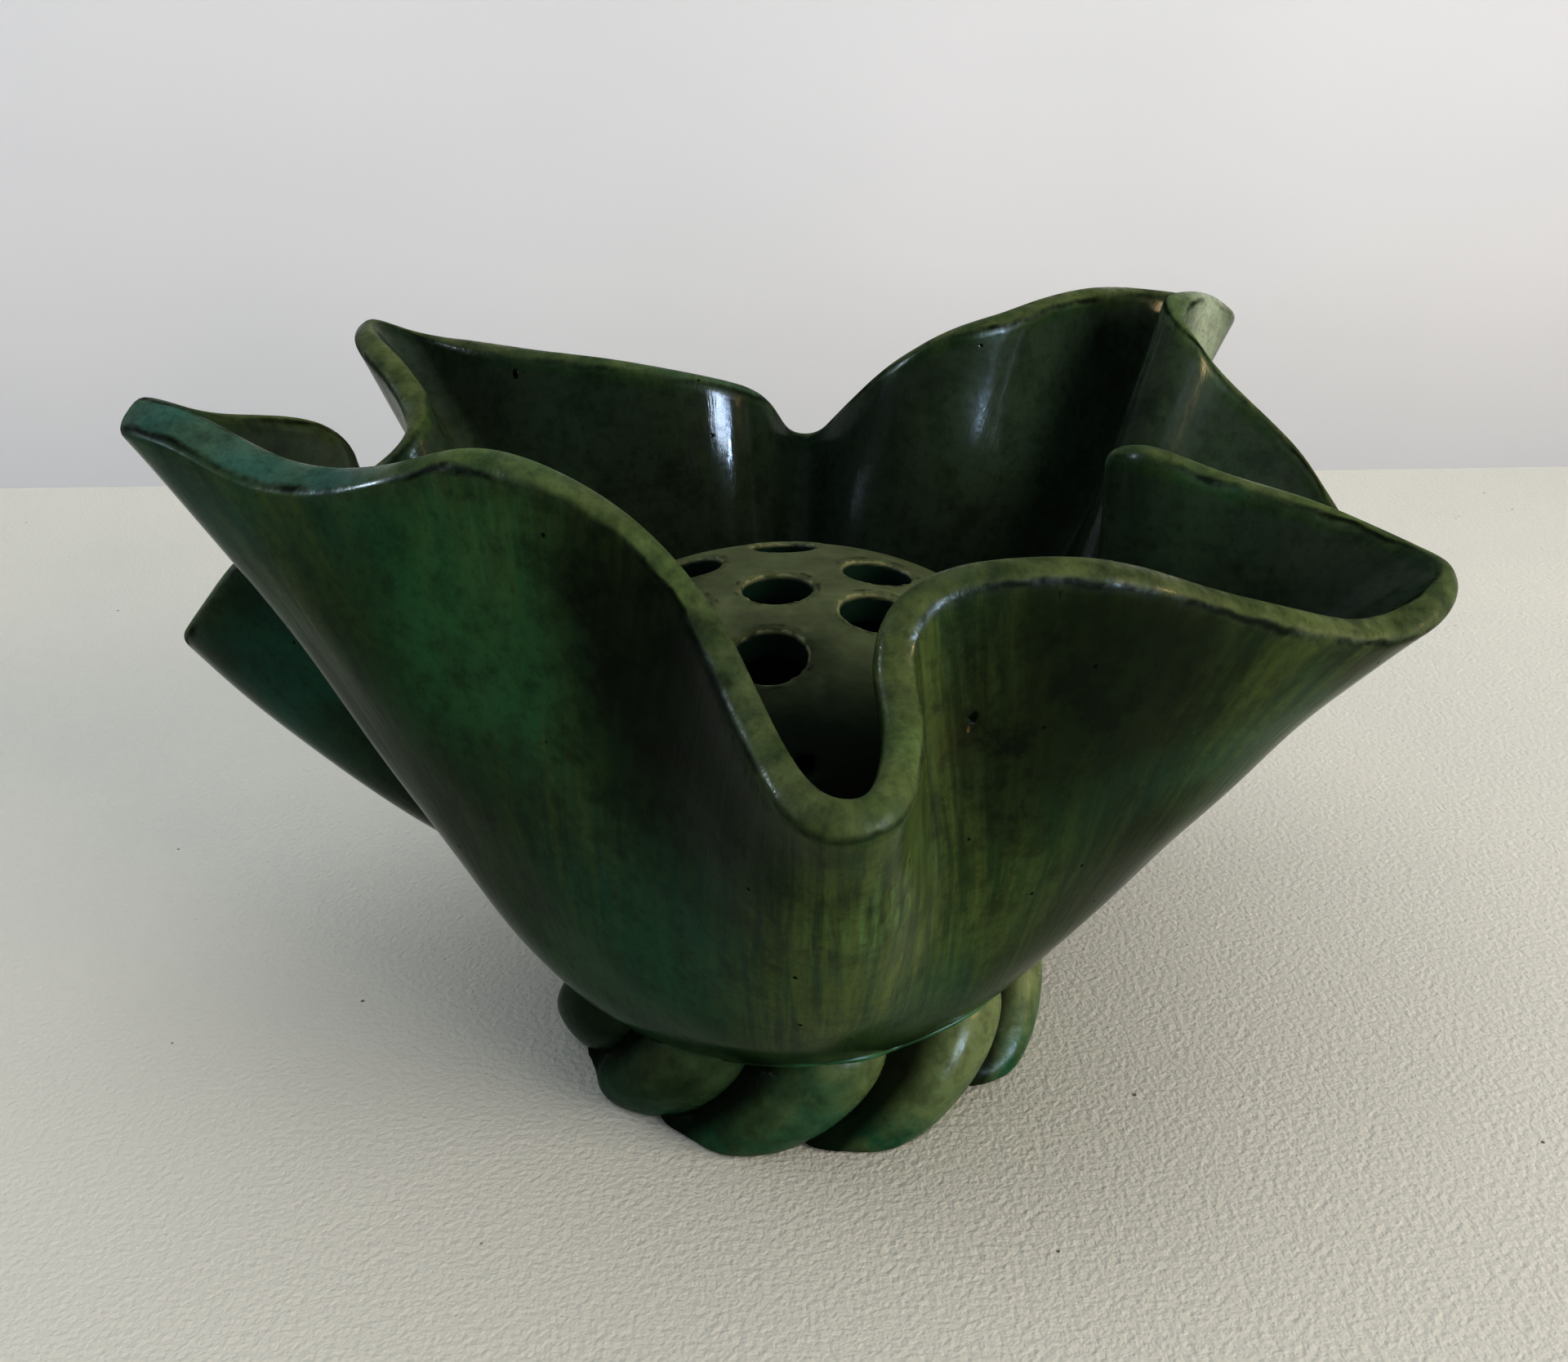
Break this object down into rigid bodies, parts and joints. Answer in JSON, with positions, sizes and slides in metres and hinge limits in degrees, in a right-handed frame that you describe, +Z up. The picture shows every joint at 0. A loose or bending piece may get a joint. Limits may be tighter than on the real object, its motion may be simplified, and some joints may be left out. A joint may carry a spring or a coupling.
{
  "type": "flower frog",
  "caption": "Domed, pierced pottery flower frog standing loose in a deeply ruffled bowl with folded lobes, on a foot of twisted clay.",
  "frame": {"origin": "on the ground under the middle of the bowl's foot and of the frog", "axes": "+Z up, the low front dip of the lip towards -Y, the long right lobe towards +X"},
  "size_m": [0.2319, 0.187, 0.1255],
  "materials": {
    "bowl_glaze": "satin green glaze, streaked with olive and teal",
    "foot_glaze": "satin green glaze, pale where it pools",
    "frog_glaze": "matt grey-olive glaze, worn to tan at the hole edges"
  },
  "bodies": {
    "bowl": {"bowl": "bowl_glaze", "foot_lobe_1": "foot_glaze", "foot_lobe_2": "foot_glaze", "foot_lobe_3": "foot_glaze", "foot_lobe_4": "foot_glaze", "foot_lobe_5": "foot_glaze", "foot_lobe_6": "foot_glaze", "foot_lobe_7": "foot_glaze", "foot_lobe_8": "foot_glaze", "foot_lobe_9": "foot_glaze"},
    "frog": {"frog": "frog_glaze"}
  },
  "joints": [
    {"name": "frog_lift", "type": "slide", "parent": "bowl", "child": "frog", "axis": [0, 0, 1], "range_m": [0, 0.11]}
  ]
}
